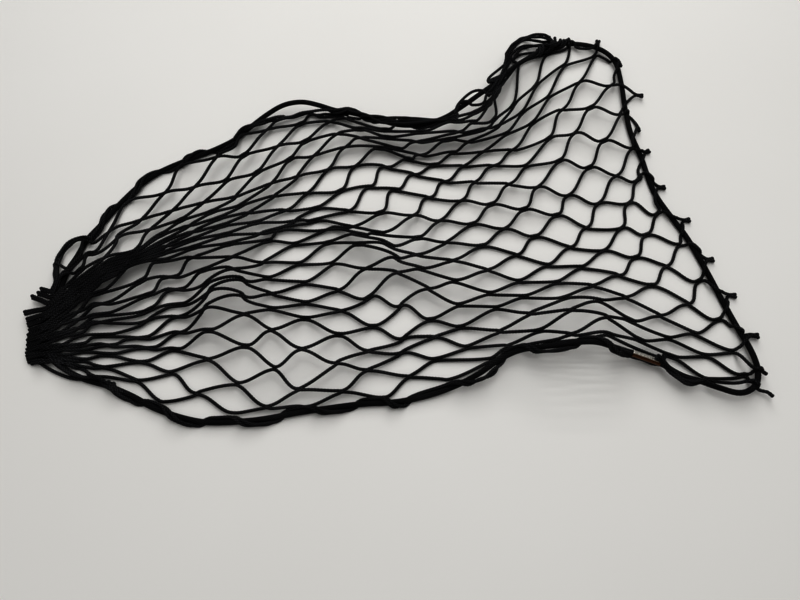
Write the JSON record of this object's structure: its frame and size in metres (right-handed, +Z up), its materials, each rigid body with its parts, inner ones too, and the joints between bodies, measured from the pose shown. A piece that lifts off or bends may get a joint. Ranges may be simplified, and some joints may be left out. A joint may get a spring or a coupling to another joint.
{
  "type": "cargo net",
  "caption": "Black knotless twine net threaded on a closed loop of shock cord with a crimped metal ferrule, lying loosely on a flat surface with its meshes drawn together at one end",
  "frame": {"origin": "on the resting surface, at the middle of the outline's bounding box", "axes": "+X to the right along the net from its gathered end to its cut edge, +Y to the back as it lies, +Z up"},
  "size_m": [0.6253, 0.4323, 0.0348],
  "materials": {
    "twine": "matte braided",
    "sheath": "matte braided sheath",
    "metal": "satin plated"
  },
  "bodies": {
    "root": {"net": "twine", "border_cord": "sheath", "ferrule": "metal"}
  },
  "joints": []
}
